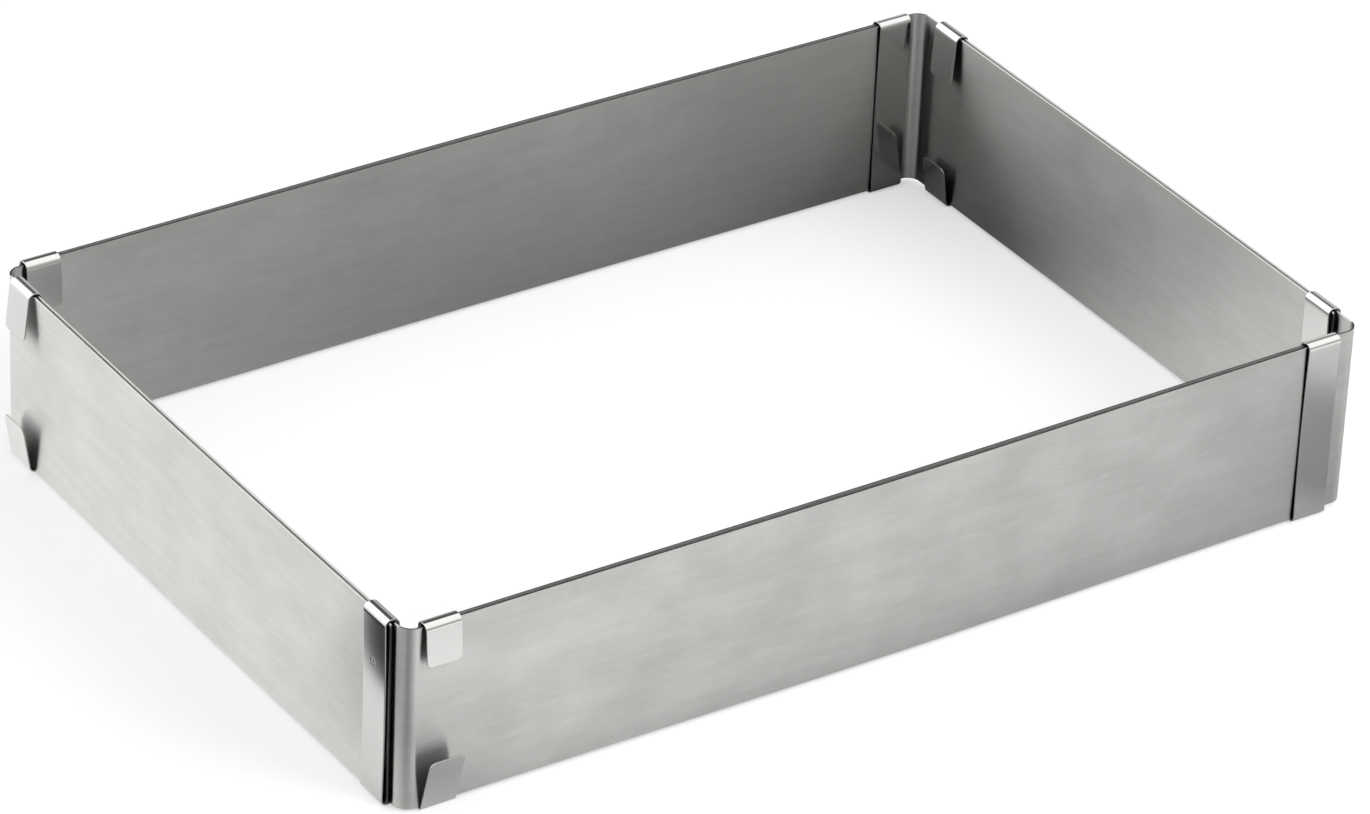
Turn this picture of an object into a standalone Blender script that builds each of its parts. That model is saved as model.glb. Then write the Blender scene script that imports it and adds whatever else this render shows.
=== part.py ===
"""Adjustable cake frame: four bent corner sheets joined by eight sliding spring clips.

The frame is a rectangle of sheet steel without a floor. Every wall is double: one leg of
one corner sheet lies against one leg of the next corner's sheet, so pulling two corners
apart slides the legs along each other and makes the wall longer. A clip is welded near
the free end of each leg. It has a band up one side of the wall, rolls over the top and
the bottom edge, and ends in two short tabs that hold the neighbour's leg from the other
side.

Metres, +Z up. X runs along the long walls and Y along the short ones. The origin is in
the middle of the frame, on the surface that the clips' bottom rolls stand on. The frame
is modelled at its smallest setting.
"""

from collections import namedtuple
from math import atan2, cos, pi, sin, tan

import bmesh
import bpy
from mathutils import Vector

# The frame at its smallest setting, measured over the outer sheets
FRAME_LENGTH = 0.278
FRAME_WIDTH = 0.190
WALL_HEIGHT = 0.050

# Corner sheets
SHEET_THICKNESS = 0.0005
LAYER_GAP = 0.0006            # air between the two legs of one wall
BEND_RADIUS = 0.004           # outside of the corner's bend
SHEET_CORNER_RADIUS = 0.0012  # rounding of a leg's two free corners

# Clips
CLIP_WIDTH = 0.0096           # along the wall
CLIP_THICKNESS = 0.0004
CLIP_INSET = 0.0008           # from the leg's free end to the clip's nearest edge
BAND_CLEARANCE = 0.00035      # between the band and its own leg, at half height
BAND_SPRING = 0.0003          # how much further the band stands off at the rolls
TAB_CLEARANCE = 0.001         # between a top tab's root and the neighbour's leg
ROLL_CLEARANCE = 0.0003       # between a roll and the edge of the sheets
BAND_BEND_RADIUS = 0.001      # outside of the bend between a roll and the band
TAB_BEND_SHARE = 1.4          # inside of the bend between a roll and a tab, by its clearance
TAB_HEIGHT = 0.0132           # from the outside of the roll to the tab's free edge
TAB_CORNER_RADIUS = 0.0016    # rounding of a tab's two free corners

# What differs from clip to clip, because each is bent and set by hand:
# gap, how far its leg stops short of the next corner, by CLIP_WIDTH
# top and bottom, how far the free edge of that tab leans from the wall, by TAB_HEIGHT
# root, how far the bottom tab's root clears the neighbour's leg, by TAB_CLEARANCE
# longer, what its bottom tab has over TAB_HEIGHT and its top tab lacks, by TAB_HEIGHT
ClipShares = namedtuple("ClipShares", "gap top bottom root longer")
CLIP_SHARES = {
    "front_wall_left_end": ClipShares(0.44, 0.053, 0.303, 0.3, 0.152),
    "front_wall_right_end": ClipShares(0.73, 0.061, 0.091, 1.0, -0.045),
    "right_wall_front_end": ClipShares(0.94, 0.098, 0.136, 1.0, 0.0),
    "right_wall_back_end": ClipShares(0.81, 0.061, 0.106, 1.0, -0.106),
    "back_wall_right_end": ClipShares(0.49, 0.053, 0.303, 0.3, 0.152),
    "back_wall_left_end": ClipShares(0.49, 0.061, 0.091, 1.0, -0.045),
    "left_wall_back_end": ClipShares(0.48, 0.098, 0.136, 1.0, 0.0),
    "left_wall_front_end": ClipShares(0.47, 0.061, 0.106, 1.0, -0.106),
}

# Fineness of the round stretches
BEND_SEGMENTS = 10
ROLL_SEGMENTS = 6
BAND_SEGMENTS = 10
CORNER_SEGMENTS = 5

# Derived places
LAYER_STEP = SHEET_THICKNESS + LAYER_GAP
STACK_THICKNESS = LAYER_STEP + SHEET_THICKNESS
ROLL_RISE = ROLL_CLEARANCE + CLIP_THICKNESS
CLIP_HEIGHT = WALL_HEIGHT + 2 * ROLL_RISE
LONG_SPAN = FRAME_LENGTH - LAYER_STEP    # from one corner's face to the next one's
SHORT_SPAN = FRAME_WIDTH - LAYER_STEP
LEFT = -FRAME_LENGTH / 2
RIGHT = FRAME_LENGTH / 2
FRONT = -FRAME_WIDTH / 2
BACK = FRAME_WIDTH / 2
QUARTER_TURN = pi / 2

# Steel of the sheets and of the clips
SHEET_COLOUR = (0.60, 0.59, 0.575, 1.0)
SHEET_ROUGHNESS = 0.32
CLIP_COLOUR = (0.66, 0.65, 0.64, 1.0)
CLIP_ROUGHNESS = 0.12


def clear_scene():
    """Remove everything that a new file starts with."""
    for thing in list(bpy.data.objects):
        bpy.data.objects.remove(thing, do_unlink=True)


def steel(name, colour, roughness):
    """A bare metal with one colour and roughness."""
    material = bpy.data.materials.new(name)
    material.use_nodes = True
    shader = material.node_tree.nodes["Principled BSDF"]
    shader.inputs["Base Color"].default_value = colour
    shader.inputs["Metallic"].default_value = 1.0
    shader.inputs["Roughness"].default_value = roughness
    material.diffuse_color = colour
    return material


def strip(name, path, across, outside):
    """An open surface: a path of points carried along one straight line.

    path is a list of points, across the vector from one long side of the strip to the
    other, and outside the way that the first face has to look.
    """
    shape = bmesh.new()
    points = [shape.verts.new(point) for point in path]
    line = [shape.edges.new(pair) for pair in zip(points, points[1:])]
    drawn = bmesh.ops.extrude_edge_only(shape, edges=line)["geom"]
    moved = [item for item in drawn if isinstance(item, bmesh.types.BMVert)]
    bmesh.ops.translate(shape, verts=moved, vec=across)
    bmesh.ops.recalc_face_normals(shape, faces=shape.faces)
    shape.normal_update()
    first_face = points[0].link_faces[0]
    if first_face.normal.dot(outside) < 0:
        bmesh.ops.reverse_faces(shape, faces=shape.faces)
    mesh = bpy.data.meshes.new(name)
    shape.to_mesh(mesh)
    shape.free()
    return bpy.data.objects.new(name, mesh)


def round_corners(thing, ends, radius):
    """Round the strip's four corners, which are the points that ends picks."""
    group = thing.vertex_groups.new(name="free corners")
    group.add([point.index for point in thing.data.vertices if ends(point.co)], 1.0, "REPLACE")
    rounding = thing.modifiers.new("Free corners", "BEVEL")
    rounding.affect = "VERTICES"
    rounding.limit_method = "VGROUP"
    rounding.vertex_group = group.name
    rounding.width = radius
    rounding.segments = CORNER_SEGMENTS


def thicken(thing, thickness):
    """Give the strip its wall, inward from its outside."""
    wall = thing.modifiers.new("Thickness", "SOLIDIFY")
    wall.thickness = thickness
    wall.offset = -1.0
    wall.use_even_offset = True


def place(thing, corner, location, turn, material, collection):
    """Put a piece on its corner and give it its metal."""
    thing.parent = corner
    thing.location = location
    thing.rotation_euler.z = turn
    thing.data.materials.append(material)
    thing.data.shade_smooth()
    thing.data.set_sharp_from_angle(angle=QUARTER_TURN / 2)
    collection.objects.link(thing)
    return thing


def corner_sheet(name, outer_leg, inner_leg):
    """One sheet with a leg along +X and a leg along +Y, its sharp outer corner at zero.

    The leg along +X is the outer layer of its wall, the one along +Y the inner layer.
    """
    path = [
        Vector((0, inner_leg, ROLL_RISE)),
        Vector((0, 0, ROLL_RISE)),
        Vector((outer_leg, 0, ROLL_RISE)),
    ]
    sheet = strip(name, path, Vector((0, 0, WALL_HEIGHT)), Vector((-1, 0, 0)))

    def free_end(point):
        return point.x > outer_leg / 2 or point.y > inner_leg / 2

    round_corners(sheet, free_end, SHEET_CORNER_RADIUS)
    bend = sheet.modifiers.new("Bend", "BEVEL")
    bend.limit_method = "ANGLE"
    bend.width = BEND_RADIUS
    bend.segments = BEND_SEGMENTS
    thicken(sheet, SHEET_THICKNESS)
    return sheet


def arc(centre_n, centre_z, radius, start, end):
    """Points on a roll's bend, from one angle to another, with both ends."""
    angles = [start + (end - start) * step / ROLL_SEGMENTS for step in range(ROLL_SEGMENTS + 1)]
    return [(centre_n + radius * cos(a), centre_z + radius * sin(a)) for a in angles]


def tab(lean, clearance, height):
    """A top tab's free edge and the bend above it, as points from the free edge up.

    The roll's outside is at height zero. The tab is straight from its free edge to the
    bend, which starts where the circle runs the way the tab leans.
    """
    root = STACK_THICKNESS + clearance + CLIP_THICKNESS
    radius = clearance * TAB_BEND_SHARE + CLIP_THICKNESS
    angle = atan2(lean, height - radius)
    bend = arc(root - radius, -radius, radius, angle, QUARTER_TURN)
    bend_n, bend_z = bend[0]
    return [(bend_n + (bend_z + height) * tan(angle), -height)] + bend


def clip_outline(shares):
    """The clip's outside seen along the wall, from the top tab round to the bottom tab.

    Each point is a distance from the outer face of the clip's own leg, positive towards
    the neighbour's leg, and a height. The band bows: it stands closest to its leg at half
    height and further off, by the square of the height from there, at the rolls.
    """
    band_at_roll = -(BAND_CLEARANCE + CLIP_THICKNESS + BAND_SPRING)
    band_side = band_at_roll + BAND_BEND_RADIUS
    low = BAND_BEND_RADIUS
    high = CLIP_HEIGHT - BAND_BEND_RADIUS

    longer = TAB_HEIGHT * shares.longer
    upper = tab(TAB_HEIGHT * shares.top, TAB_CLEARANCE, TAB_HEIGHT - longer)
    lower_clearance = TAB_CLEARANCE * shares.root
    lower = tab(TAB_HEIGHT * shares.bottom, lower_clearance, TAB_HEIGHT + longer)
    top_tab = [(n, CLIP_HEIGHT + z) for n, z in upper]
    bottom_tab = [(n, -z) for n, z in reversed(lower)]
    top_bend = arc(band_side, high, BAND_BEND_RADIUS, QUARTER_TURN, 2 * QUARTER_TURN)
    bottom_bend = arc(band_side, low, BAND_BEND_RADIUS, 2 * QUARTER_TURN, 3 * QUARTER_TURN)

    band = []
    for step in range(1, BAND_SEGMENTS):
        place_share = 1 - 2 * step / BAND_SEGMENTS
        bow_share = 1 - place_share ** 2
        middle = CLIP_HEIGHT / 2
        band.append((band_at_roll + BAND_SPRING * bow_share, middle + place_share * (middle - low)))
    return top_tab + top_bend + band + bottom_bend + bottom_tab


def clip(name, shares):
    """One clip, its width along +X from zero and its own leg's outer face on Y zero."""
    path = [Vector((0, n, z)) for n, z in clip_outline(shares)]
    piece = strip(name, path, Vector((CLIP_WIDTH, 0, 0)), Vector((0, 1, 0)))
    free_edges = (path[0], path[-1])

    def tab_corner(point):
        return any(point.y == edge.y and point.z == edge.z for edge in free_edges)

    round_corners(piece, tab_corner, TAB_CORNER_RADIUS)
    thicken(piece, CLIP_THICKNESS)
    return piece


def corner_empty(name, location, turn, collection):
    """The empty that a corner's sheet and clips hang on, on the line that it slides along."""
    empty = bpy.data.objects.new(name, None)
    empty.location = location
    empty.rotation_euler.z = turn
    empty.empty_display_size = BEND_RADIUS
    collection.objects.link(empty)
    return empty


def build():
    """Build the four corners, each a sheet with the two clips at its free ends."""
    clear_scene()
    frame = bpy.data.collections.new("adjustable_cake_frame")
    bpy.context.scene.collection.children.link(frame)
    sheet_steel = steel("brushed sheet steel", SHEET_COLOUR, SHEET_ROUGHNESS)
    clip_steel = steel("bright spring steel", CLIP_COLOUR, CLIP_ROUGHNESS)

    # Each corner: its name, its sharp outer corner, its quarter turns, the span of its
    # outer and its inner leg, and where those two legs end
    corners = [
        ("front_left", (LEFT + LAYER_STEP, FRONT), 0, LONG_SPAN, SHORT_SPAN,
         "front_wall_right_end", "left_wall_back_end"),
        ("front_right", (RIGHT, FRONT + LAYER_STEP), 1, SHORT_SPAN, LONG_SPAN,
         "right_wall_back_end", "front_wall_left_end"),
        ("back_right", (RIGHT - LAYER_STEP, BACK), 2, LONG_SPAN, SHORT_SPAN,
         "back_wall_left_end", "right_wall_front_end"),
        ("back_left", (LEFT, BACK - LAYER_STEP), 3, SHORT_SPAN, LONG_SPAN,
         "left_wall_front_end", "back_wall_right_end"),
    ]
    for name, (x, y), turns, outer_span, inner_span, outer_end, inner_end in corners:
        corner = corner_empty("corner_" + name, (x, y, 0), turns * QUARTER_TURN, frame)
        outer_leg = outer_span - CLIP_WIDTH * CLIP_SHARES[outer_end].gap
        inner_leg = inner_span - CLIP_WIDTH * CLIP_SHARES[inner_end].gap
        sheet = corner_sheet("corner_sheet_" + name, outer_leg, inner_leg)
        place(sheet, corner, (0, 0, 0), 0, sheet_steel, frame)
        outer_clip = clip("clip_" + outer_end, CLIP_SHARES[outer_end])
        outer_place = (outer_leg - CLIP_INSET - CLIP_WIDTH, 0, 0)
        place(outer_clip, corner, outer_place, 0, clip_steel, frame)
        inner_clip = clip("clip_" + inner_end, CLIP_SHARES[inner_end])
        inner_place = (SHEET_THICKNESS, inner_leg - CLIP_INSET - CLIP_WIDTH, 0)
        place(inner_clip, corner, inner_place, QUARTER_TURN, clip_steel, frame)


build()
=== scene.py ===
"""The looks of an adjustable cake frame: brushed corner sheets in bright spring clips.

Four sheets of brushed steel, each bent once into a corner, overlap along the four walls.
Eight clips of spring steel, welded to the free ends of the sheets, roll over the top and
the bottom edge of the walls and hold the neighbouring sheet with two short tabs.

The file is laid out as a Blender add-on and is run as a script. Every length is in
metres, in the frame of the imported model: X runs along the long walls, Y along the short
walls and Z up.
"""

from collections import namedtuple
from math import atan2, ceil, cos, pi, radians, sin, tan

import bpy
import numpy as np
from bpy.props import FloatProperty, FloatVectorProperty, IntProperty, PointerProperty
from mathutils import Matrix, Vector


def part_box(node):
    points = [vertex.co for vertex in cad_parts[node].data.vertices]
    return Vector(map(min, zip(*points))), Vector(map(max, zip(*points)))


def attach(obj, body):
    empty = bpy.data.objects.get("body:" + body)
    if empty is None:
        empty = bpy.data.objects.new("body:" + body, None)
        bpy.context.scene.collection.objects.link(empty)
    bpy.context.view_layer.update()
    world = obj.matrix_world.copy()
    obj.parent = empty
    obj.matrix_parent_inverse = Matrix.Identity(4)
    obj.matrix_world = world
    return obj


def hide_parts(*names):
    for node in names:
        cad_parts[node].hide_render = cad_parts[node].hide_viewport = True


bl_info = {
    "name": "Adjustable Cake Frame",
    "version": (1, 0, 0),
    "blender": (4, 5, 0),
    "location": "3D View > Sidebar > Cake Frame",
    "description": "Corner sheets, spring clips and a small photo studio for a sliding cake frame",
    "category": "Object",
}

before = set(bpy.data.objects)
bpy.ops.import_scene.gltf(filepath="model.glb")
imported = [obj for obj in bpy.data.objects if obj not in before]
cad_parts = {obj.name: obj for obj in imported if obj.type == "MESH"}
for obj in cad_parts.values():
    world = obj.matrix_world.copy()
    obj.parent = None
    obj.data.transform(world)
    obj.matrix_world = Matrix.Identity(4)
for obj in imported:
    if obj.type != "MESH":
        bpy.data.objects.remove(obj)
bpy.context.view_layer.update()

# Each corner: its body and sheet, its quarter turns from the front left one, and the
# clips at the free ends of its outer and its inner leg
Corner = namedtuple("Corner", "body sheet turns outer_clip inner_clip")
CORNERS = [
    Corner("front_left_corner", "corner_sheet_front_left", 0,
           "clip_front_wall_right_end", "clip_left_wall_back_end"),
    Corner("front_right_corner", "corner_sheet_front_right", 1,
           "clip_right_wall_back_end", "clip_front_wall_left_end"),
    Corner("back_right_corner", "corner_sheet_back_right", 2,
           "clip_back_wall_left_end", "clip_right_wall_front_end"),
    Corner("back_left_corner", "corner_sheet_back_left", 3,
           "clip_left_wall_front_end", "clip_back_wall_right_end"),
]

# What differs from clip to clip, because each is bent by hand, as shares of the clip's
# tab height and of its tab clearance: how far the free edges of the top and the bottom
# tab lean from the wall, how far the bottom tab's root clears it, and what the bottom
# tab has over the common height and the top tab lacks
ClipShares = namedtuple("ClipShares", "top bottom root longer")
CLIP_SHARES = {
    "clip_front_wall_left_end": ClipShares(0.053, 0.303, 0.3, 0.152),
    "clip_front_wall_right_end": ClipShares(0.061, 0.091, 1.0, -0.045),
    "clip_right_wall_front_end": ClipShares(0.098, 0.136, 1.0, 0.0),
    "clip_right_wall_back_end": ClipShares(0.061, 0.106, 1.0, -0.106),
    "clip_back_wall_right_end": ClipShares(0.053, 0.303, 0.3, 0.152),
    "clip_back_wall_left_end": ClipShares(0.061, 0.091, 1.0, -0.045),
    "clip_left_wall_back_end": ClipShares(0.098, 0.136, 1.0, 0.0),
    "clip_left_wall_front_end": ClipShares(0.061, 0.106, 1.0, -0.106),
}

QUARTER_TURN = pi / 2
GRAIN_MAP = "grain"            # UV map in metres: along the grain, across the grain
RIM_ATTRIBUTE = "rim"          # 1 on a cut edge of the metal, 0 on its faces
INSIDE_ATTRIBUTE = "inside"    # 1 on the inside of a bent strip, 0 on its outside; a clip is darkened there by painted shade

# How finely the outlines and the strips are cut up
SHEET_BEND_STEPS = 64      # steps round the bend of a sheet's outline
CLIP_BEND_STEPS = 24       # steps round each bend of a clip's outline
BAND_STEPS = 60            # steps up the band of a clip's outline
OUTLINE_SHARE = 4          # steps of an outline's straights in one step of the mesh
SHEET_TURN = radians(5)    # how far a sheet turns from one mesh line to the next
CLIP_TURN = radians(6)     # how far a clip turns
EDGE_STEPS = 6             # steps across the rounding of an edge or of a corner
EDGE_HOLD = 1.6            # one more line past an edge's rounding, by its radius
LINES_IN_EDGE = 12         # no more lines than this within that radius
COLUMN_SHARE = 4           # step of the mesh across a strip, by the one along it
CUT_SHARE = 0.5            # part of an edge's rounding that takes the cut edge's colour, which on the sheets carries painted shade
WELD_LINES = 25            # mesh lines across a weld mark
WELD_REACH = 2             # how far they reach from its middle, by its radius
WELD_RING_WIDTH = 0.35     # width of the ring that a weld leaves, by its radius


def length(name, default, description):
    """A length that a user may change, in metres and shown to a hundredth of a millimetre."""
    return FloatProperty(
        name=name, description=description, default=default, min=0.0,
        precision=5, subtype="DISTANCE", unit="LENGTH",
    )


def share(name, default, description, high=1.0):
    """A plain number from zero to a limit."""
    return FloatProperty(name=name, description=description, default=default, min=0.0, max=high)


def colour(name, default, description):
    """A colour in linear light."""
    return FloatVectorProperty(
        name=name, description=description, default=default, size=3,
        min=0.0, max=1.0, subtype="COLOR",
    )


class SheetSizes(bpy.types.PropertyGroup):
    """Sizes of the bent corner sheets."""

    thickness: length("Thickness", 0.0005, "Thickness of the sheet steel")
    bend_radius: length("Bend radius", 0.004, "Outside radius of the corner's bend")
    corner_radius: length("Corner radius", 0.0012, "Rounding of the free corners of a leg")
    edge_radius: length("Edge radius", 0.00012, "Rounding of the cut edges")
    long_outer_bow: length("Long outer bow", 0.0010, "Bow of a long wall's outer layer")
    long_inner_bow: length("Long inner bow", 0.0005, "Bow of a long wall's inner layer")
    short_outer_bow: length("Short outer bow", 0.0004, "Bow of a short wall's outer layer")
    short_inner_bow: length("Short inner bow", 0.00045, "Bow of a short wall's inner layer")
    pitch: length("Mesh pitch", 0.003, "Distance of the mesh lines on the flat")


class ClipSizes(bpy.types.PropertyGroup):
    """Sizes of the spring clips."""

    thickness: length("Thickness", 0.0004, "Thickness of the spring steel")
    layer_gap: length("Layer gap", 0.0006, "Air between the two layers of a wall")
    band_clearance: length("Band clearance", 0.00035, "From the band to its leg, half-way up")
    band_spring: length("Band spring", 0.0003, "How much further off the band is at the rolls")
    tab_clearance: length("Tab clearance", 0.001, "From a tab's root to the neighbour's leg")
    tab_bend_share: share("Tab bend", 1.4, "Inside radius of a tab's bend by its clearance", 4.0)
    tab_height: length("Tab height", 0.0132, "From the outside of the roll to the free edge")
    tab_corner_radius: length("Tab corner", 0.0016, "Rounding of a tab's free corners")
    band_bend_radius: length("Band bend", 0.0016, "Outside radius between roll and band")
    edge_radius: length("Edge radius", 0.0001, "Rounding of the cut edges")
    weld_radius: length("Weld radius", 0.00075, "Radius of the ring that a spot weld leaves")
    weld_depth: length("Weld depth", 0.000006, "Depth of that ring")
    weld_height_share: share("Weld height", 0.27, "Place of a weld, from the roll, by height")
    weld_side_share: share("Weld side", 0.45, "Place of a weld across the clip, by its width")
    pitch: length("Mesh pitch", 0.0008, "Distance of the mesh lines on the flat")


class SteelFinish(bpy.types.PropertyGroup):
    """Colours and roughness of the two steels."""

    sheet_light: colour("Sheet, light", (0.70, 0.692, 0.677), "Bright lines of the sheet")
    sheet_dark: colour("Sheet, dark", (0.54, 0.534, 0.521), "Dark lines of the sheet")
    sheet_roughness: share("Sheet roughness", 0.35, "Roughness of the brushed faces")
    sheet_anisotropy: share("Sheet anisotropy", 1.0, "How much the grain smears a reflection")
    sheet_lines: share("Sheet lines", 0.5, "How much the brush lines darken the sheet")
    sheet_clouds: share("Sheet clouds", 0.5, "How much the clouds darken the sheet")
    sheet_flecks: share("Sheet flecks", 0.4, "How strongly the bright flecks show")
    sheet_relief: share("Sheet relief", 0.12, "How strongly the grain bends the light")
    clip_light: colour("Clip, light", (0.72, 0.713, 0.70), "Bright parts of the clip")
    clip_dark: colour("Clip, dark", (0.64, 0.633, 0.62), "Dull parts of the clip")
    clip_roughness: share("Clip roughness", 0.10, "Roughness of the bright clips")
    clip_anisotropy: share("Clip anisotropy", 0.3, "How much the grain smears a reflection")
    clip_lines: share("Clip lines", 0.3, "How much the brush lines dull the clips")
    clip_clouds: share("Clip clouds", 0.4, "How much the clouds dull the clips")
    # A clip's inside faces the wall that it holds and is darkened to this share: painted shade
    clip_inside_shade: share("Clip inside", 0.15, "Tone of a clip's inside, by that of its outside")
    fleck_colour: colour("Flecks", (0.86, 0.855, 0.845), "Bright flecks in the grain")
    # Nearly black: a dull sheared edge, darkened further by painted shade where the sheets' ends
    # sit in the clips' slots
    sheet_rim_and_shade: colour("Sheet edge", (0.06, 0.059, 0.057), "Sheared edges of the sheets")
    clip_rim: colour("Clip edge", (0.48, 0.475, 0.465), "Sheared edges of the clips")
    rim_roughness: share("Edge roughness", 0.34, "Roughness of the sheared edges")
    line_pitch: length("Line pitch", 0.0005, "Width of a brush line")
    line_length: length("Line length", 0.005, "Length of a brush line")
    line_depth: length("Line depth", 0.00002, "Depth of a brush line")
    cloud_size: length("Cloud size", 0.014, "Size of the faint clouds in the brushing")


class StudioSettings(bpy.types.PropertyGroup):
    """Camera, light and floor of the studio."""

    camera_place: FloatVectorProperty(
        name="Camera place", description="Where the camera stands", size=3,
        default=(-0.88433, -1.28867, 0.97020), subtype="TRANSLATION", unit="LENGTH",
    )
    camera_pitch: FloatProperty(
        name="Pitch", description="How far the camera looks down",
        default=radians(31.312), subtype="ANGLE", unit="ROTATION",
    )
    camera_yaw: FloatProperty(
        name="Yaw", description="Turn of the camera from looking along Y",
        default=radians(-34.524), subtype="ANGLE", unit="ROTATION",
    )
    camera_roll: FloatProperty(
        name="Roll", description="Tilt of the camera about its own line of sight",
        default=radians(2.6816), subtype="ANGLE", unit="ROTATION",
    )
    camera_lens: FloatProperty(
        name="Lens", description="Focal length on a sensor 36 mm wide",
        default=192.97, min=10.0, unit="CAMERA",
    )
    floor_size: length("Floor size", 12.0, "Side of the square floor")
    floor_colour: colour("Floor colour", (0.82, 0.82, 0.82), "Colour of the pale floor")
    floor_lift: share("Floor lift", 0.38, "Glow that the camera sees on the floor")
    # A glow on the floor that only the metal mirrors: painted light, dimmed by the floor's painted
    # shade
    mirrored_lift: share("Mirrored lift", 0.30, "Glow that metal mirrors from the floor")
    room_level: share("Room level", 0.72, "Even light that the room throws on matt surfaces", 4.0)
    tent_level: share("Tent level", 1.4, "Brightness of the white tent that metal mirrors", 4.0)
    key_place: FloatVectorProperty(
        name="Key place", description="Where the softbox hangs", size=3,
        default=(0.7, -1.1, 0.9), subtype="TRANSLATION", unit="LENGTH",
    )
    key_size: length("Key size", 0.9, "Side of the square softbox")
    key_power: FloatProperty(
        name="Key power", description="Power of the softbox to the front right",
        default=9.0, min=0.0, unit="POWER",
    )
    grain_seed: IntProperty(name="Seed", description="Picks the pattern of the grain", default=3)


# Mesh: a strip of metal with real thickness, bent along a profile


def profile_measures(points):
    """Arc length and turning along a dense line of points in a plane.

    Arc length is the running sum of the distances between neighbours. Turning is the
    running sum of the absolute change of direction.
    """
    step = np.diff(points, axis=0)
    distance = np.hypot(step[:, 0], step[:, 1])
    heading = np.unwrap(np.arctan2(step[:, 1], step[:, 0]))
    along = np.concatenate([[0.0], np.cumsum(distance)])
    turning = np.concatenate([[0.0], np.cumsum(np.abs(np.diff(heading))), [0.0]])
    turning[-1] = turning[-2]
    return along, turning


def bend_line(points, straight_step):
    """Fill the straight stretches of a line of points, so that it is dense everywhere."""
    filled = []
    for start, end in zip(points, points[1:]):
        count = max(1, ceil(np.hypot(*(np.subtract(end, start))) / straight_step))
        share_of_way = np.arange(count)[:, None] / count
        filled.append(np.asarray(start) * (1 - share_of_way) + np.asarray(end) * share_of_way)
    filled.append(np.asarray(points[-1])[None, :])
    return np.concatenate(filled)


def arc(centre, radius, start, end, steps):
    """Points of a circle round centre from one angle to another, both ends included."""
    angles = np.linspace(start, end, steps + 1)
    return [(centre[0] + radius * cos(a), centre[1] + radius * sin(a)) for a in angles]


def border_steps(edge_radius, corner_radius):
    """Distances from a border at which the mesh needs lines.

    They lie where a circle of the edge's rounding, and one of the corner's rounding, is
    cut into equal angles, with one more line past the edge's rounding to hold it.
    """
    turn = 1 - np.cos(np.linspace(0, QUARTER_TURN, EDGE_STEPS + 1))
    hold = [EDGE_HOLD * edge_radius]
    return np.concatenate([edge_radius * turn, hold, corner_radius * turn[2:]])


def merge_places(places, low, high, least):
    """Sorted places between low and high, without any closer together than least."""
    places = np.sort(np.clip(places, low, high))
    keep = np.concatenate([[True], np.diff(places) > least])
    places = places[keep]
    places[-1] = high
    return places


def half_thickness(border, thickness, edge_radius):
    """Half of the metal's thickness at a distance from its border.

    On the flat it is half the thickness. Within the edge's rounding it falls along a
    quarter circle, so a flat rim is left in the middle.
    """
    inside = np.clip(edge_radius - border, 0, edge_radius)
    return thickness / 2 - edge_radius + np.sqrt(edge_radius ** 2 - inside ** 2)


def border_distance(along, across, total, low, high, radius):
    """Distance from the border of a rectangle with round corners, for a grid of points.

    Beside a straight side it is the distance from that side. Inside the square of a
    corner it is the corner's radius less the distance from the corner's centre.
    """
    from_end = np.minimum(along, total - along)
    from_side = np.minimum(across - low, high - across)
    gap_end = np.clip(radius - from_end, 0, None)
    gap_side = np.clip(radius - from_side, 0, None)
    in_corner = (gap_end > 0) & (gap_side > 0)
    corner = radius - np.hypot(gap_end, gap_side)
    return np.where(in_corner, np.clip(corner, 0, None), np.minimum(from_end, from_side))


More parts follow.
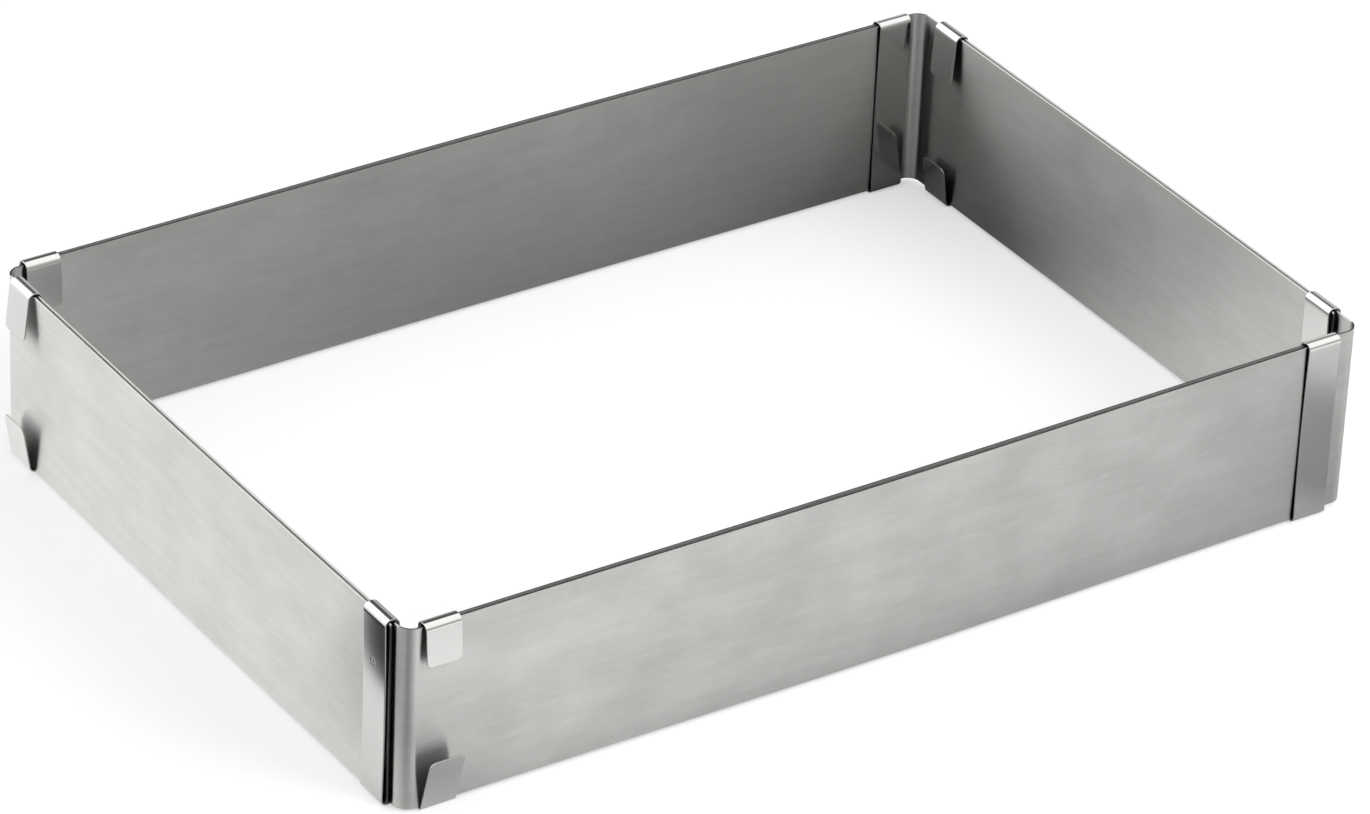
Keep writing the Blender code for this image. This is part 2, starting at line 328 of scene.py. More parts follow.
def bent_strip(profile, width, thickness, edge_radius, corner_radius, pitch, angle, marks=()):
    """A closed strip of metal: a grid carried along a profile, given its thickness.

    The profile is the line of the outside face in a plane (p, q), and w runs across the
    strip from zero to its width. The outside normal is the profile's direction turned
    clockwise. A grid point lies at profile(u), w, and is moved in by half the thickness
    less the half thickness that its distance from the border leaves; the inside face is
    moved in by as much more. Where a leg or a tab ends, the two corners are round: a line
    across the strip is shortened there by the corner's circle.

    marks are ring grooves (u from the start, w, radius, depth), with a bell's shape over
    the distance from the ring. The rim attribute is 1 on the outer part of a long edge's
    rounding and on the whole of an end's. Returns points (p, q, w), faces, each face
    corner's place on the metal (u, w), and the points' values of the named attributes.
    """
    along, turning = profile_measures(profile)
    total = along[-1]
    cost = along / pitch + turning / angle
    wanted = np.linspace(0, cost[-1], ceil(cost[-1]) + 1)
    border = border_steps(edge_radius, corner_radius)
    stations = [np.interp(wanted, cost, along), border, total - border]
    columns = [np.linspace(0, width, max(2, ceil(width / (COLUMN_SHARE * pitch))) + 1)]
    columns += [border, width - border]
    for mark_u, mark_w, mark_radius, _ in marks:
        reach = WELD_REACH * mark_radius
        mark_lines = np.linspace(-reach, reach, WELD_LINES)
        stations.append(mark_u + mark_lines)
        columns.append(mark_w + mark_lines)
    least = edge_radius / LINES_IN_EDGE
    u = merge_places(np.concatenate(stations), 0, total, least)
    columns = merge_places(np.concatenate(columns), 0, width, least)

    line = np.stack([np.interp(u, along, profile[:, 0]), np.interp(u, along, profile[:, 1])], 1)
    before = np.clip(u - edge_radius, 0, total)
    after = np.clip(u + edge_radius, 0, total)
    ahead = np.stack([np.interp(after, along, profile[:, k]) for k in (0, 1)], 1)
    behind = np.stack([np.interp(before, along, profile[:, k]) for k in (0, 1)], 1)
    direction = ahead - behind
    direction /= np.hypot(direction[:, 0], direction[:, 1])[:, None]
    outward = np.stack([direction[:, 1], -direction[:, 0]], 1)

    from_end = np.minimum(u, total - u)
    cut = np.clip(corner_radius - from_end, 0, None)
    shorter = corner_radius - np.sqrt(corner_radius ** 2 - cut ** 2)
    w = shorter[:, None] + columns[None, :] / width * (width - 2 * shorter)[:, None]
    uu = np.broadcast_to(u[:, None], w.shape)
    distance = border_distance(uu, w, total, 0.0, width, corner_radius)
    half = half_thickness(distance, thickness, edge_radius)
    relief = np.zeros_like(w)
    for mark_u, mark_w, mark_radius, mark_depth in marks:
        away = np.hypot(uu - mark_u, w - mark_w) / mark_radius
        relief -= mark_depth * np.exp(-((away - 1) / WELD_RING_WIDTH) ** 2)

    def side(depth):
        flat = line[:, None, :] + outward[:, None, :] * depth[:, :, None]
        return np.concatenate([flat, w[:, :, None]], 2).reshape(-1, 3)

    outside = side(relief - thickness / 2 + half)
    inside = side(relief - thickness / 2 - half)
    points = np.concatenate([outside, inside])
    outer = np.arange(w.size).reshape(w.shape)
    inner = outer + w.size
    place = np.stack([uu, w], 2).reshape(-1, 2)

    def quads(a, b, c, d):
        return np.stack([a, b, c, d], -1).reshape(-1, 4)

    faces = [
        quads(outer[:-1, :-1], outer[1:, :-1], outer[1:, 1:], outer[:-1, 1:]),
        quads(inner[:-1, :-1], inner[:-1, 1:], inner[1:, 1:], inner[1:, :-1]),
    ]
    maps = [place[face % w.size] for face in faces]
    rims = [
        (outer[1:, 0], outer[:-1, 0], inner[:-1, 0], inner[1:, 0], u[1:], u[:-1]),
        (outer[:-1, -1], outer[1:, -1], inner[1:, -1], inner[:-1, -1], u[:-1], u[1:]),
        (outer[0, :-1], outer[0, 1:], inner[0, 1:], inner[0, :-1], w[0, :-1], w[0, 1:]),
        (outer[-1, 1:], outer[-1, :-1], inner[-1, :-1], inner[-1, 1:], w[-1, 1:], w[-1, :-1]),
    ]
    for a, b, c, d, first, second in rims:
        faces.append(quads(a, b, c, d))
        none = np.zeros_like(first)
        rim_along = np.stack([first, second, second, first], -1)
        rim_across = np.stack([none, none, none + thickness, none + thickness], -1)
        maps.append(np.stack([rim_along, rim_across], -1))
    at_end = np.minimum(uu, total - uu) < edge_radius
    on_rim = (distance < CUT_SHARE * edge_radius) | at_end
    values = {
        RIM_ATTRIBUTE: np.tile(on_rim.astype(float).ravel(), 2),
        INSIDE_ATTRIBUTE: np.repeat([0.0, 1.0], w.size),
    }
    return points, np.concatenate(faces), np.concatenate(maps), values


def quarter_turned(points, turns):
    """Points turned about Z by whole quarter turns: each one takes (x, y) to (-y, x)."""
    x, y, z = points.T
    for _ in range(turns % 4):
        x, y = -y, x
    return np.stack([x, y, z], 1)


def turned_box(node, turns):
    """A node's box in a frame that is turned back by quarter turns: lowest, highest."""
    corners = quarter_turned(np.array([list(corner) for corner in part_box(node)]), -turns)
    return corners.min(0), corners.max(0)


def add_piece(name, points, faces, places, values, material):
    """Put a finished grid into a mesh, with its map, its attributes and its steel."""
    mesh = bpy.data.meshes.new(name)
    mesh.from_pydata(points.tolist(), [], faces.tolist())
    grain = mesh.uv_layers.new(name=GRAIN_MAP)
    grain.data.foreach_set("uv", places.astype(np.float32).ravel())
    for attribute_name, value in values.items():
        attribute = mesh.attributes.new(attribute_name, "FLOAT", "POINT")
        attribute.data.foreach_set("value", value.astype(np.float32))
    mesh.shade_smooth()
    mesh.materials.append(material)
    mesh.validate()
    piece = bpy.data.objects.new(name, mesh)
    bpy.context.scene.collection.objects.link(piece)
    return piece


# Corner sheets


def leg_bow(place, bow):
    """How far a leg bows out at a share of its length: the bow by the square of a sine."""
    return bow * np.sin(pi * np.clip(place, 0, 1)) ** 2


def sheet_profile(outer_leg, inner_leg, sizes, outer_bow, inner_bow):
    """The outside of a corner sheet from above, from the inner leg's free end to the outer's.

    The inner leg lies on x = 0 and the outer leg on y = 0, joined by a quarter circle.
    Each leg bows outwards between its bend and its free end.
    """
    radius = sizes.bend_radius
    corner = arc(
        (radius, radius), radius, 2 * QUARTER_TURN, 3 * QUARTER_TURN, SHEET_BEND_STEPS)
    line = bend_line(
        [(0.0, inner_leg)] + corner + [(outer_leg, 0.0)], sizes.pitch / OUTLINE_SHARE)
    x, y = line.T
    on_inner = (y > radius) & (x < radius)
    on_outer = (x > radius) & (y < radius)
    inner_place = (y - radius) / (inner_leg - radius)
    outer_place = (x - radius) / (outer_leg - radius)
    x = np.where(on_inner, x - leg_bow(inner_place, inner_bow), x)
    y = np.where(on_outer, y - leg_bow(outer_place, outer_bow), y)
    return np.stack([x, y], 1)


def dull_shaded_edges(points, sizes):
    """1 where a cut edge is dull and darkened by painted shade, along the long walls and at the
    free ends, 0 elsewhere.

    A point is on a long wall when its distance from the middle along Y comes within the
    bend's radius of the largest one. It is at the free end of a short wall's leg when
    that distance is the smallest one, within twice the edge's rounding.
    """
    reach = np.abs(points[:, 1])
    side = np.sign(points[np.argmax(reach), 1])
    from_end = side * points[:, 1] - (side * points[:, 1]).min()
    on_long_wall = reach > reach.max() - sizes.bend_radius
    return (on_long_wall | (from_end < 2 * sizes.edge_radius)).astype(float)


class CAKEFRAME_OT_corner_sheets(bpy.types.Operator):
    """Dress the four corner sheets"""

    bl_idname = "cake_frame.corner_sheets"
    bl_label = "Corner sheets"

    def execute(self, context):
        sizes = context.scene.cake_frame_sheets
        steel = brushed_steel(context.scene.cake_frame_steel)
        for corner in CORNERS:
            low, high = turned_box(corner.sheet, corner.turns)
            outer_leg, inner_leg, height = high - low
            long_outer = outer_leg > inner_leg
            outer_bow = sizes.long_outer_bow if long_outer else sizes.short_outer_bow
            inner_bow = sizes.short_inner_bow if long_outer else sizes.long_inner_bow
            profile = sheet_profile(outer_leg, inner_leg, sizes, outer_bow, inner_bow)
            points, faces, places, values = bent_strip(
                profile, height, sizes.thickness, sizes.edge_radius,
                sizes.corner_radius, sizes.pitch, SHEET_TURN,
            )
            points = quarter_turned(points + low, corner.turns)
            # Only these cut edges keep the sheet's dark edge colour, which is a dull edge with
            # painted shade
            values[RIM_ATTRIBUTE] *= dull_shaded_edges(points, sizes)
            piece = add_piece(corner.sheet + "_brushed", points, faces, places, values, steel)
            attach(piece, corner.body)
            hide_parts(corner.sheet)
        return {"FINISHED"}


# Spring clips


def tab_line(lean, clearance, height, stack, sizes):
    """A top tab's free edge and the bend above it, with the roll's outside at height zero.

    The tab is straight from its free edge up to the bend, which starts where the circle
    runs the way the tab leans.
    """
    root = stack + clearance + sizes.thickness
    radius = clearance * sizes.tab_bend_share + sizes.thickness
    angle = atan2(lean, height - radius)
    bend = arc((root - radius, -radius), radius, angle, QUARTER_TURN, CLIP_BEND_STEPS)
    bend_n, bend_z = bend[0]
    return [(bend_n + (bend_z + height) * tan(angle), -height)] + bend


def clip_profile(shares, clip_height, stack, sizes):
    """The clip's outside seen along the wall, from the top tab round to the bottom tab.

    n is the distance from the outer face of the clip's own leg, positive towards the
    neighbour's leg, and z the height. The band bows: its distance from its leg is least
    half-way up and grows by the square of the height from there.
    """
    band_at_roll = -(sizes.band_clearance + sizes.thickness + sizes.band_spring)
    radius = sizes.band_bend_radius
    side = band_at_roll + radius
    high = clip_height - radius
    longer = sizes.tab_height * shares.longer
    upper = tab_line(
        sizes.tab_height * shares.top, sizes.tab_clearance,
        sizes.tab_height - longer, stack, sizes,
    )
    lower = tab_line(
        sizes.tab_height * shares.bottom, sizes.tab_clearance * shares.root,
        sizes.tab_height + longer, stack, sizes,
    )
    place = np.linspace(1, -1, BAND_STEPS + 1)[1:-1]
    band_n = band_at_roll + sizes.band_spring * (1 - place ** 2)
    band_z = clip_height / 2 + place * (clip_height / 2 - radius)
    points = [(n, clip_height + z) for n, z in upper]
    points += arc((side, high), radius, QUARTER_TURN, 2 * QUARTER_TURN, CLIP_BEND_STEPS)
    points += list(zip(band_n, band_z))
    points += arc((side, radius), radius, 2 * QUARTER_TURN, 3 * QUARTER_TURN, CLIP_BEND_STEPS)
    points += [(n, -z) for n, z in reversed(lower)]
    return bend_line(points, sizes.pitch / OUTLINE_SHARE)


def weld_marks(profile, width, sizes):
    """The two spot welds of a clip: at equal distances from its rolls, on its band."""
    along, _ = profile_measures(profile)
    on_band = profile[:, 0] < -sizes.band_clearance
    height = profile[:, 1].max()
    marks = []
    for level in (1 - sizes.weld_height_share, sizes.weld_height_share):
        nearest = np.argmin(np.where(on_band, np.abs(profile[:, 1] - level * height), np.inf))
        marks.append((along[nearest], width * sizes.weld_side_share, sizes.weld_radius,
                      sizes.weld_depth))
    return marks


class CAKEFRAME_OT_spring_clips(bpy.types.Operator):
    """Dress the eight spring clips"""

    bl_idname = "cake_frame.spring_clips"
    bl_label = "Spring clips"

    def execute(self, context):
        sizes = context.scene.cake_frame_clips
        sheets = context.scene.cake_frame_sheets
        steel = bright_steel(context.scene.cake_frame_steel)
        stack = 2 * sheets.thickness + sizes.layer_gap
        for corner in CORNERS:
            sheet_low, _ = turned_box(corner.sheet, corner.turns)
            for node in (corner.outer_clip, corner.inner_clip):
                low, high = turned_box(node, corner.turns)
                on_outer_leg = node == corner.outer_clip
                width = high[0] - low[0] if on_outer_leg else high[1] - low[1]
                profile = clip_profile(CLIP_SHARES[node], high[2] - low[2], stack, sizes)
                points, faces, places, values = bent_strip(
                    profile, width, sizes.thickness, sizes.edge_radius,
                    sizes.tab_corner_radius, sizes.pitch, CLIP_TURN,
                    weld_marks(profile, width, sizes),
                )
                n, z, w = points.T
                if on_outer_leg:
                    points = np.stack([low[0] + w, sheet_low[1] + n, low[2] + z], 1)
                else:
                    own_face = sheet_low[0] + sheets.thickness
                    points = np.stack([own_face - n, low[1] + w, low[2] + z], 1)
                points = quarter_turned(points, corner.turns)
                grain = places[..., ::-1]
                piece = add_piece(node + "_bright", points, faces, grain, values, steel)
                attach(piece, corner.body)
                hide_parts(node)
        return {"FINISHED"}


# Materials


BLACK = (0.0, 0.0, 0.0, 1.0)
WHITE = (1.0, 1.0, 1.0, 1.0)
BROAD_LINES = 3.5          # size of the broad brush lines, by the fine ones
LINE_DETAIL = 2.0          # detail of the noise that makes the brush lines
CLOUD_DETAIL = 3.0         # detail of the noise that makes the clouds
CLOUD_STRETCH = 0.7        # clouds in a length along the metal, by those across it
FLECK_RANGE = (0.55, 0.80)    # noise at which a fleck starts and is full
CLOUD_RANGE = (0.3, 0.7)   # noise at which a cloud starts and is full
GRAIN_GAIN = 1.25          # spreads the sum of fine and broad lines, which is about 1
GRAIN_SHIFT = -0.75        # moves it to the middle between the two shades
CLEAR_ROUGHNESS = 0.92     # roughness where there is no cloud, by the steel's own
CLOUD_ROUGHNESS = 0.15     # what a full cloud adds to it
SMEAR_TURN = 0.25          # turns from the grain to the way a reflection smears


def new_group(name, inputs, outputs):
    """A shader node group: a place and the named numbers go in, named numbers come out."""
    group = bpy.data.node_groups.new(name, "ShaderNodeTree")
    group.interface.new_socket("Place", in_out="INPUT", socket_type="NodeSocketVector")
    for socket in inputs:
        group.interface.new_socket(socket, in_out="INPUT", socket_type="NodeSocketFloat")
    for socket in outputs:
        group.interface.new_socket(socket, in_out="OUTPUT", socket_type="NodeSocketFloat")
    return group, group.nodes.new("NodeGroupInput"), group.nodes.new("NodeGroupOutput")


def connect(tree, source, target):
    """Link an output socket, or set a plain value, on an input socket."""
    if isinstance(source, bpy.types.NodeSocket):
        tree.links.new(source, target)
    else:
        target.default_value = source


def math_node(tree, operation, *values):
    """One Math node on the given values or sockets."""
    node = tree.nodes.new("ShaderNodeMath")
    node.operation = operation
    for value, socket in zip(values, node.inputs):
        connect(tree, value, socket)
    return node.outputs[0]


def mix_colour(tree, factor, first, second):
    """One colour between two others."""
    node = tree.nodes.new("ShaderNodeMix")
    node.data_type = "RGBA"
    connect(tree, factor, node.inputs["Factor"])
    connect(tree, first, node.inputs["A"])
    connect(tree, second, node.inputs["B"])
    return node.outputs["Result"]


def mix_value(tree, factor, first, second):
    """One value between two others."""
    node = tree.nodes.new("ShaderNodeMix")
    node.data_type = "FLOAT"
    connect(tree, factor, node.inputs[0])
    connect(tree, first, node.inputs[2])
    connect(tree, second, node.inputs[3])
    return node.outputs[0]


def opaque(values):
    """A colour with full opacity."""
    return (*values, 1.0)


def noise_node(tree, spot, detail):
    """Noise at a spot whose coordinates are already scaled."""
    noise = tree.nodes.new("ShaderNodeTexNoise")
    noise.inputs["Scale"].default_value = 1.0
    noise.inputs["Detail"].default_value = detail
    connect(tree, spot, noise.inputs["Vector"])
    return noise.outputs["Fac"]


def spread_out(tree, value, limits):
    """The part of a value between two limits, spread over 0 to 1."""
    node = tree.nodes.new("ShaderNodeMapRange")
    node.inputs["From Min"].default_value = limits[0]
    node.inputs["From Max"].default_value = limits[1]
    connect(tree, value, node.inputs["Value"])
    return node.outputs[0]


def brush_lines_group():
    """Brush lines on metal: noise that is stretched along the first coordinate.

    The place on the metal is divided by the length of a line one way and by its pitch the
    other way before the noise is read, once for fine lines and once for broad ones. The
    flecks are the highest parts of the fine lines, spread over 0 to 1.
    """
    group, given, result = new_group(
        "Brush lines", ("Line length", "Line pitch", "Seed"), ("Fine", "Broad", "Flecks"))
    parts = group.nodes.new("ShaderNodeSeparateXYZ")
    connect(group, given.outputs["Place"], parts.inputs[0])
    for name, coarser in (("Fine", 1.0), ("Broad", BROAD_LINES)):
        along = math_node(group, "DIVIDE", parts.outputs[0], given.outputs["Line length"])
        across = math_node(group, "DIVIDE", parts.outputs[1], given.outputs["Line pitch"])
        spot = group.nodes.new("ShaderNodeCombineXYZ")
        connect(group, math_node(group, "DIVIDE", along, coarser), spot.inputs[0])
        connect(group, math_node(group, "DIVIDE", across, coarser), spot.inputs[1])
        connect(group, math_node(group, "ADD", given.outputs["Seed"], coarser), spot.inputs[2])
        noise = noise_node(group, spot.outputs[0], LINE_DETAIL)
        connect(group, noise, result.inputs[name])
        if name == "Fine":
            connect(group, spread_out(group, noise, FLECK_RANGE), result.inputs["Flecks"])
    return group


def clouds_group():
    """Faint clouds: soft noise, longer along the metal than across, spread over 0 to 1."""
    group, given, result = new_group("Clouds", ("Size", "Seed"), ("Cloud",))
    parts = group.nodes.new("ShaderNodeSeparateXYZ")
    connect(group, given.outputs["Place"], parts.inputs[0])
    spot = group.nodes.new("ShaderNodeCombineXYZ")
    along = math_node(group, "DIVIDE", parts.outputs[0], given.outputs["Size"])
    across = math_node(group, "DIVIDE", parts.outputs[1], given.outputs["Size"])
    connect(group, math_node(group, "MULTIPLY", along, CLOUD_STRETCH), spot.inputs[0])
    connect(group, across, spot.inputs[1])
    connect(group, given.outputs["Seed"], spot.inputs[2])
    noise = noise_node(group, spot.outputs[0], CLOUD_DETAIL)
    connect(group, spread_out(group, noise, CLOUD_RANGE), result.inputs["Cloud"])
    return group


def shared_group(name, maker):
    """The node group of that name, made once."""
    return bpy.data.node_groups.get(name) or maker()


def steel_material(finish, name, light, dark, edge, roughness, anisotropy, line_share,
                   cloud_share, fleck_share, relief_share, inside_shade):
    """Bare steel with brush lines, clouds and flecks, its own cut edges and inside.

    The shares say how strongly the lines, the clouds, the flecks and the relief show. The inside
    shade is the brightness of a bent strip's inside, by that of its outside: painted shade, which
    darkens a clip's inside where it faces the wall that it holds.
    """
    material = bpy.data.materials.new(name)
    material.use_nodes = True
    tree = material.node_tree
    shader = tree.nodes["Principled BSDF"]
    shader.inputs["Metallic"].default_value = 1.0
    shader.inputs["Anisotropic"].default_value = anisotropy
    shader.inputs["Anisotropic Rotation"].default_value = SMEAR_TURN

    place = tree.nodes.new("ShaderNodeUVMap")
    place.uv_map = GRAIN_MAP
    tangent = tree.nodes.new("ShaderNodeTangent")
    tangent.direction_type = "UV_MAP"
    tangent.uv_map = GRAIN_MAP
    connect(tree, tangent.outputs[0], shader.inputs["Tangent"])
    rim = tree.nodes.new("ShaderNodeAttribute")
    rim.attribute_name = RIM_ATTRIBUTE
    inside = tree.nodes.new("ShaderNodeAttribute")
    inside.attribute_name = INSIDE_ATTRIBUTE

    lines = tree.nodes.new("ShaderNodeGroup")
    lines.node_tree = shared_group("Brush lines", brush_lines_group)
    connect(tree, place.outputs[0], lines.inputs["Place"])
    lines.inputs["Line length"].default_value = finish.line_length
    lines.inputs["Line pitch"].default_value = finish.line_pitch
    lines.inputs["Seed"].default_value = bpy.context.scene.cake_frame_studio.grain_seed
    clouds = tree.nodes.new("ShaderNodeGroup")
    clouds.node_tree = shared_group("Clouds", clouds_group)
    connect(tree, place.outputs[0], clouds.inputs["Place"])
    clouds.inputs["Size"].default_value = finish.cloud_size

    both = math_node(tree, "ADD", lines.outputs["Fine"], lines.outputs["Broad"])
    grain = math_node(tree, "MULTIPLY_ADD", both, GRAIN_GAIN, GRAIN_SHIFT)
    weighted = math_node(tree, "MULTIPLY", grain, line_share)
    shade = math_node(tree, "MULTIPLY_ADD", clouds.outputs["Cloud"], cloud_share, weighted)
    face = mix_colour(tree, shade, opaque(light), opaque(dark))
    flecks = math_node(tree, "MULTIPLY", lines.outputs["Flecks"], fleck_share)
    face = mix_colour(tree, flecks, face, opaque(finish.fleck_colour))
    # Painted shade: a clip's inside, which faces the wall that it holds, is darkened to the inside
    # shade
    painted_tone = mix_value(tree, inside.outputs["Fac"], 1.0, inside_shade)
    face = mix_colour(tree, painted_tone, BLACK, face)
    # The cut edges take the edge colour; on the sheets it is nearly black, a dull cut edge with
    # painted shade
    face = mix_colour(tree, rim.outputs["Fac"], face, opaque(edge))
    connect(tree, face, shader.inputs["Base Color"])

    rough = math_node(
        tree, "MULTIPLY_ADD", clouds.outputs["Cloud"], CLOUD_ROUGHNESS * roughness,
        CLEAR_ROUGHNESS * roughness,
    )
    rough = mix_value(tree, rim.outputs["Fac"], rough, finish.rim_roughness)
    connect(tree, rough, shader.inputs["Roughness"])

    relief = tree.nodes.new("ShaderNodeBump")
    relief.inputs["Strength"].default_value = relief_share
    relief.inputs["Distance"].default_value = finish.line_depth
    connect(tree, grain, relief.inputs["Height"])
    connect(tree, relief.outputs[0], shader.inputs["Normal"])
    material.diffuse_color = opaque(light)
    return material


def brushed_steel(finish):
    """Sheet steel with a fine grain along the wall and soft reflections."""
    return steel_material(
        finish, name="brushed sheet steel", light=finish.sheet_light,
        dark=finish.sheet_dark, edge=finish.sheet_rim_and_shade, roughness=finish.sheet_roughness,
        anisotropy=finish.sheet_anisotropy, line_share=finish.sheet_lines,
        cloud_share=finish.sheet_clouds, fleck_share=finish.sheet_flecks,
        relief_share=finish.sheet_relief, inside_shade=1.0,
    )


def bright_steel(finish):
    """Rolled spring steel, nearly a mirror."""
    return steel_material(
        finish, name="bright spring steel", light=finish.clip_light,
        dark=finish.clip_dark, edge=finish.clip_rim, roughness=finish.clip_roughness,
        anisotropy=finish.clip_anisotropy, line_share=finish.clip_lines,
        cloud_share=finish.clip_clouds, fleck_share=0.0, relief_share=0.0,
        inside_shade=finish.clip_inside_shade,
    )


# Studio


# What the metal mirrors is painted with light. On the floor the dim patches are painted shade and
# the bright ones painted light, which only the metal's reflections show: a floor darker inside the
# frame, in its back right corner and round its foot, and brighter beyond the left wall. In the
# tent the patches dim and brighten the world's light that the metal sees, like dark flags and
# bright panels in a studio. On the floor a patch has its middle and its reach along X and Y in
# metres, in the tent its direction in degrees and its width, one less the cosine of its half
# angle. Depth is the share of the light that is missing in the middle, or is added there where it
# is below zero, and a higher edge makes the border sharper.
FloorPatch = namedtuple("FloorPatch", "x y reach_x reach_y depth edge")
FLOOR_PATCHES = [FloorPatch(*row) for row in (
    # Painted shade, inside the frame
    (0.03, 0.09, 0.2, 0.13, 0.8, 1),            # in front of the back wall
    (0.139, 0.095, 0.085, 0.062, 0.92, 1),      # in the back right corner
    (0.112, 0.054, 0.024, 0.024, 0.55, 1),      # beside that corner
    (0.088, 0.02, 0.024, 0.024, 0.5, 1),        # from there towards the camera
    (0.064, -0.014, 0.024, 0.024, 0.5, 1),      # the same, nearer
    (0.04, -0.048, 0.024, 0.024, 0.5, 1),       # the same, nearer still
    # Painted light, inside the frame
    (0.092, -0.018, 0.032, 0.04, -1.1, 1),      # in front of the right wall
    (0.13, 0.085, 0.018, 0.013, -2.2, 1),       # at the back right corner's foot
    # Painted shade and light, before the front wall
    (0.21, -0.11, 0.13, 0.06, 0.5, 1),          # outside the front right corner
    (0.15, -0.125, 0.028, 0.028, 0.42, 3),      # close to that corner's outer clip
    (0.04, -0.098, 0.15, 0.012, 0.33, 1),       # along the wall's foot
    (-0.1, -0.14, 0.05, 0.03, -0.5, 1),         # bright before its left half
    (-0.122, -0.104, 0.02, 0.01, 0.4, 1),       # under the front left corner's tab
    (-0.18, -0.135, 0.05, 0.05, 0.95, 1),       # between camera and that corner
    (-0.36, -0.27, 0.17, 0.15, 0.9, 1),         # the same, further out
    # Painted shade, mirrored by the left and the back wall's clips
    (-0.2245, -0.055, 0.06, 0.065, 0.96, 40),   # a sharp-edged patch of painted shade to the left
    (-0.068, 0.004, 0.03, 0.028, 0.5, 2),       # before the back wall's left clip
    # Painted light, beyond the left wall
    (-0.15, 0.075, 0.03, 0.12, -1.6, 1),        # close to the wall
    (-0.28, 0.3, 0.13, 0.14, -0.9, 1),          # further out
)]
TentPatch = namedtuple("TentPatch", "azimuth height width depth edge")
TENT_PATCHES = [TentPatch(radians(row[0]), radians(row[1]), *row[2:]) for row in (
    (57, 35, 0.02, 0.93, 2),        # behind, high up
    (80, 14, 0.073, 0.93, 3),       # behind the back left corner
    (46, 12, 0.015, 0.75, 2),       # behind the back right corner
    (-58, 14, 0.039, 0.6, 2),       # low over the front wall
    (122, 34, 0.08, -0.7, 1),       # bright beyond the left wall
    (-125, 10, 0.25, 0.9, 1),       # round the camera
)]


def light_left(tree, away, patch):
    """Light left by a patch: one less its depth times a bell over how far away a spot is.

    The bell is the exponential of minus the distance measure to the power of the edge.
    """
    steep = math_node(tree, "POWER", away, float(patch.edge))
    bell = math_node(tree, "EXPONENT", math_node(tree, "MULTIPLY", steep, -1.0))
    return math_node(tree, "MULTIPLY_ADD", bell, -patch.depth, 1.0)


def floor_light(tree, patch):
    """Light left on the floor, by the square of the distance from the patch's middle."""
    where = tree.nodes.new("ShaderNodeNewGeometry")
    parts = tree.nodes.new("ShaderNodeSeparateXYZ")
    connect(tree, where.outputs["Position"], parts.inputs[0])
    across = math_node(tree, "SUBTRACT", parts.outputs[0], patch.x)
    across = math_node(tree, "DIVIDE", across, patch.reach_x)
    along = math_node(tree, "SUBTRACT", parts.outputs[1], patch.y)
    along = math_node(tree, "DIVIDE", along, patch.reach_y)
    square = math_node(tree, "MULTIPLY", across, across)
    square = math_node(tree, "MULTIPLY_ADD", along, along, square)
    return light_left(tree, square, patch)


def tent_light(tree, direction, patch):
    """Light left in the tent, by one less the cosine of the angle from the patch's middle."""
    middle = Vector((cos(patch.azimuth) * cos(patch.height),
                     sin(patch.azimuth) * cos(patch.height), sin(patch.height)))
    nearness = tree.nodes.new("ShaderNodeVectorMath")
    nearness.operation = "DOT_PRODUCT"
    connect(tree, direction, nearness.inputs[0])
    nearness.inputs[1].default_value = middle
    away = math_node(tree, "SUBTRACT", nearness.outputs["Value"], 1.0)
    away = math_node(tree, "DIVIDE", away, -patch.width)
    return light_left(tree, math_node(tree, "MAXIMUM", away, 0.0), patch)


def mirror_ray(tree, rays):
    """1 for a ray that left a shiny or a clear surface, 0 for any other."""
    return math_node(
        tree, "MAXIMUM", rays.outputs["Is Glossy Ray"], rays.outputs["Is Transmission Ray"])


def floor_material(studio):
    """Pale matt floor with a lift. What the metal mirrors of it carries painted shade and painted
    light from the patches: a painted reflection of a floor that is darker inside the frame and
    round its foot.

    A bright patch adds painted light to the lift that the metal mirrors, and a dim one paints
    shade by taking from both the lift and the colour, because the mix of the colours stops at a
    full one.
    """
    material = bpy.data.materials.new("pale floor")
    material.use_nodes = True
    material.cycles.emission_sampling = "NONE"
    tree = material.node_tree
    shader = tree.nodes["Principled BSDF"]
    shader.inputs["Roughness"].default_value = 1.0
    shader.inputs["Specular IOR Level"].default_value = 0.0
    rays = tree.nodes.new("ShaderNodeLightPath")
    mirrored = mirror_ray(tree, rays)
    # Painted shade and light: the patches dim and brighten the floor only where the metal mirrors
    # it
    painted_tone = 1.0
    for patch in FLOOR_PATCHES:
        painted_tone = math_node(tree, "MULTIPLY", painted_tone, floor_light(tree, patch))
    painted_tone = mix_value(tree, mirrored, 1.0, painted_tone)
    colour_seen = mix_colour(tree, painted_tone, BLACK, opaque(studio.floor_colour))
    connect(tree, colour_seen, shader.inputs["Base Color"])
    shader.inputs["Emission Color"].default_value = WHITE
    mirrored_lift = math_node(tree, "MULTIPLY", mirrored, studio.mirrored_lift)
    mirrored_lift = math_node(tree, "MULTIPLY", mirrored_lift, painted_tone)
    lift = math_node(tree, "MULTIPLY_ADD", rays.outputs["Is Camera Ray"], studio.floor_lift,
                     mirrored_lift)
    connect(tree, lift, shader.inputs["Emission Strength"])
    return material


def add_lamp(name, place, aim, size, power):
    """A softbox: a square area lamp at a place, aimed at a point."""
    lamp = bpy.data.lights.new(name, "AREA")
    lamp.shape = "SQUARE"
    lamp.size = size
    lamp.energy = power
    thing = bpy.data.objects.new(name, lamp)
    line = Vector(aim) - Vector(place)
    turn = line.to_track_quat("-Z", "Y").to_matrix().to_4x4()
    thing.matrix_world = Matrix.Translation(place) @ turn
    thing.visible_glossy = False
    bpy.context.scene.collection.objects.link(thing)
    return thing


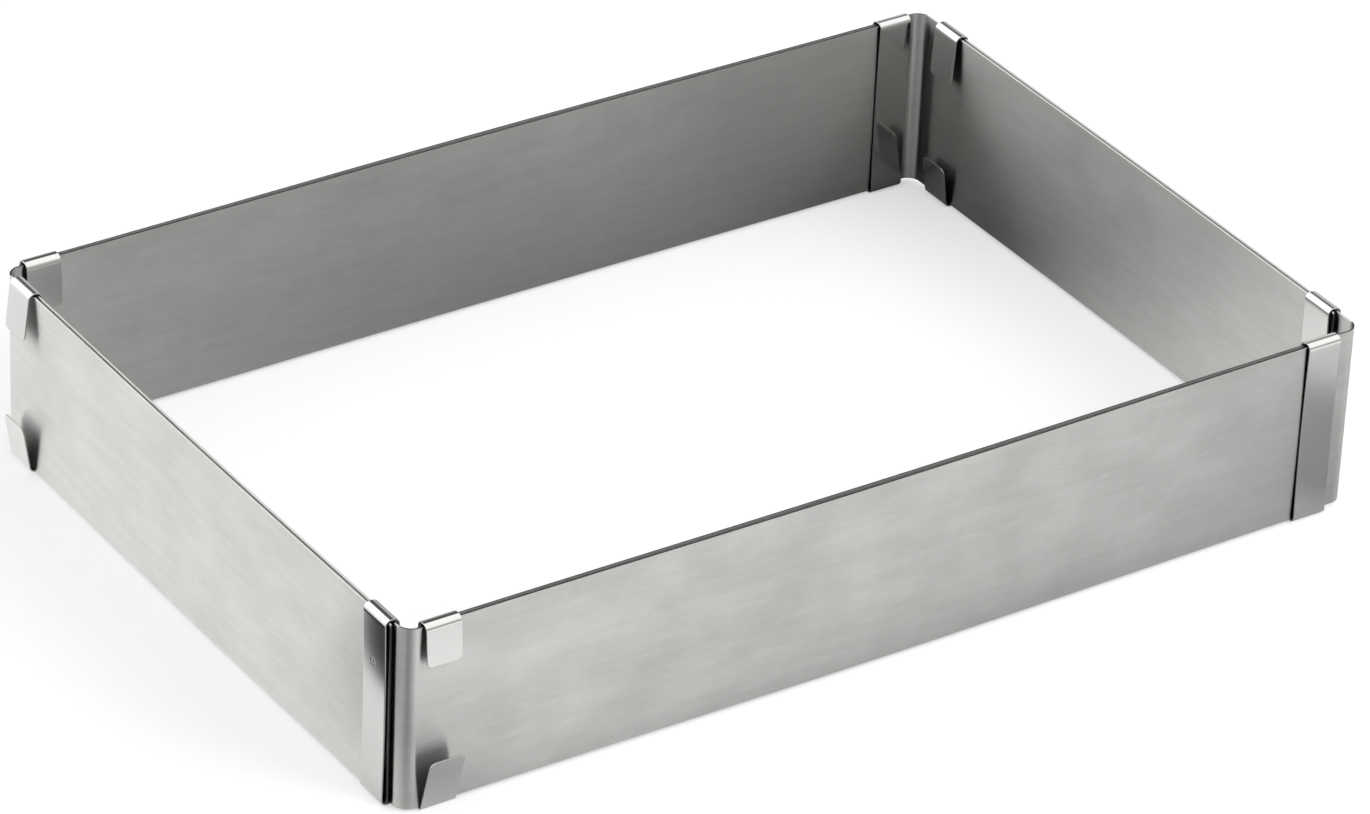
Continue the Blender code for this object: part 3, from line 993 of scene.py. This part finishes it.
def studio_world(studio):
    """White for the camera, a tent for the metal, and an even room for everything matt."""
    world = bpy.data.worlds.new("studio")
    bpy.context.scene.world = world
    world.use_nodes = True
    world.cycles.sampling_method = "NONE"
    tree = world.node_tree
    background = tree.nodes["Background"]
    background.inputs["Color"].default_value = WHITE
    direction = tree.nodes.new("ShaderNodeTexCoord").outputs["Generated"]
    tent = studio.tent_level
    for patch in TENT_PATCHES:
        tent = math_node(tree, "MULTIPLY", tent, tent_light(tree, direction, patch))
    rays = tree.nodes.new("ShaderNodeLightPath")
    unseen = mix_value(tree, mirror_ray(tree, rays), studio.room_level, tent)
    strength = mix_value(tree, rays.outputs["Is Camera Ray"], unseen, 1.0)
    connect(tree, strength, background.inputs["Strength"])
    return world


def add_camera(studio):
    """The camera at the photograph's place, without shift or depth of field."""
    camera = bpy.data.cameras.new("camera")
    camera.sensor_fit = "HORIZONTAL"
    camera.sensor_width = 36.0
    camera.lens = studio.camera_lens
    camera.clip_start = 0.05
    camera.clip_end = 100.0
    thing = bpy.data.objects.new("camera", camera)
    turn = Matrix.Rotation(studio.camera_yaw, 4, "Z")
    turn = turn @ Matrix.Rotation(QUARTER_TURN - studio.camera_pitch, 4, "X")
    turn = turn @ Matrix.Rotation(studio.camera_roll, 4, "Z")
    thing.matrix_world = Matrix.Translation(studio.camera_place) @ turn
    bpy.context.scene.collection.objects.link(thing)
    bpy.context.scene.camera = thing


class CAKEFRAME_OT_studio(bpy.types.Operator):
    """Set up the floor, the light and the camera"""

    bl_idname = "cake_frame.studio"
    bl_label = "Studio"

    def execute(self, context):
        studio = context.scene.cake_frame_studio
        half = studio.floor_size / 2
        mesh = bpy.data.meshes.new("floor")
        corners = [(-half, -half, 0), (half, -half, 0), (half, half, 0), (-half, half, 0)]
        mesh.from_pydata(corners, [], [(0, 1, 2, 3)])
        mesh.materials.append(floor_material(studio))
        floor = bpy.data.objects.new("floor", mesh)
        context.scene.collection.objects.link(floor)
        add_lamp(
            "front_right_softbox", studio.key_place, (0, 0, 0), studio.key_size,
            studio.key_power,
        )
        studio_world(studio)
        add_camera(studio)
        context.scene.view_settings.view_transform = "Standard"
        return {"FINISHED"}


class CAKEFRAME_PT_panel(bpy.types.Panel):
    """The cake frame's steps and sizes"""

    bl_idname = "CAKEFRAME_PT_panel"
    bl_label = "Cake Frame"
    bl_space_type = "VIEW_3D"
    bl_region_type = "UI"
    bl_category = "Cake Frame"

    def draw(self, context):
        for operator in OPERATORS:
            self.layout.operator(operator.bl_idname)
        for name in SETTINGS:
            box = self.layout.box()
            settings = getattr(context.scene, name)
            for prop in settings.bl_rna.properties:
                if prop.identifier not in ("rna_type", "name"):
                    box.prop(settings, prop.identifier)


SETTINGS = {
    "cake_frame_sheets": SheetSizes,
    "cake_frame_clips": ClipSizes,
    "cake_frame_steel": SteelFinish,
    "cake_frame_studio": StudioSettings,
}
OPERATORS = (
    CAKEFRAME_OT_corner_sheets,
    CAKEFRAME_OT_spring_clips,
    CAKEFRAME_OT_studio,
)


def register():
    """Register the classes and hang the settings on the scene."""
    for kind in (*SETTINGS.values(), *OPERATORS, CAKEFRAME_PT_panel):
        bpy.utils.register_class(kind)
    for name, kind in SETTINGS.items():
        setattr(bpy.types.Scene, name, PointerProperty(type=kind))


def unregister():
    """Take the settings off the scene and unregister the classes."""
    for name in SETTINGS:
        delattr(bpy.types.Scene, name)
    for kind in reversed((*SETTINGS.values(), *OPERATORS, CAKEFRAME_PT_panel)):
        bpy.utils.unregister_class(kind)


def main():
    """Build everything in order."""
    register()
    bpy.ops.cake_frame.studio()
    bpy.ops.cake_frame.corner_sheets()
    bpy.ops.cake_frame.spring_clips()


if __name__ == "__main__":
    main()
